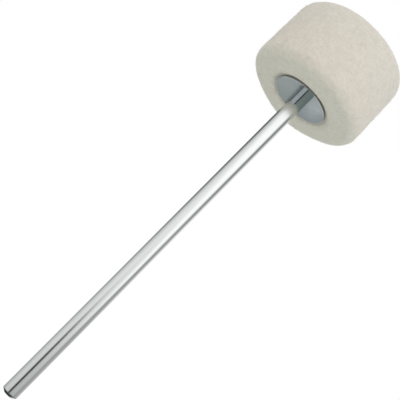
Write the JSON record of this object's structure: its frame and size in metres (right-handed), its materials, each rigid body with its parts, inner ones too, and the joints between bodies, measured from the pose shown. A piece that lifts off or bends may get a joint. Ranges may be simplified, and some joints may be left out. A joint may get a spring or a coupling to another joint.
{
  "type": "bass drum beater",
  "caption": "Bass drum pedal beater: a felt cylinder clamped between wide washers on a slim chromed shaft, which turns to bring fresh felt to the drum.",
  "frame": {"origin": "centre of the shaft's lower end", "axes": "+Z along the shaft, from its free end towards the felt head; +X through the slit of the lock washer"},
  "size_m": [0.0535, 0.0534, 0.2027],
  "materials": {
    "chrome": "bright chrome plate on steel, polished",
    "washer_plate": "bright zinc plate on steel, nearly mirror smooth",
    "felt": "pressed wool felt, undyed, soft and fibrous",
    "sleeve_steel": "plain drawn steel tube",
    "spring_steel": "plated spring steel"
  },
  "bodies": {
    "shaft": {"shaft": "chrome", "lock_washer": "spring_steel", "cap_nut": "chrome"},
    "head": {"felt_head": "felt", "core_sleeve": "sleeve_steel", "lower_washer": "washer_plate", "upper_washer": "washer_plate"}
  },
  "joints": [
    {"name": "head_turn", "type": "hinge", "parent": "shaft", "child": "head", "pos_m": [0, 0, 0.1595], "axis": [0, 0, 1], "continuous": true}
  ]
}
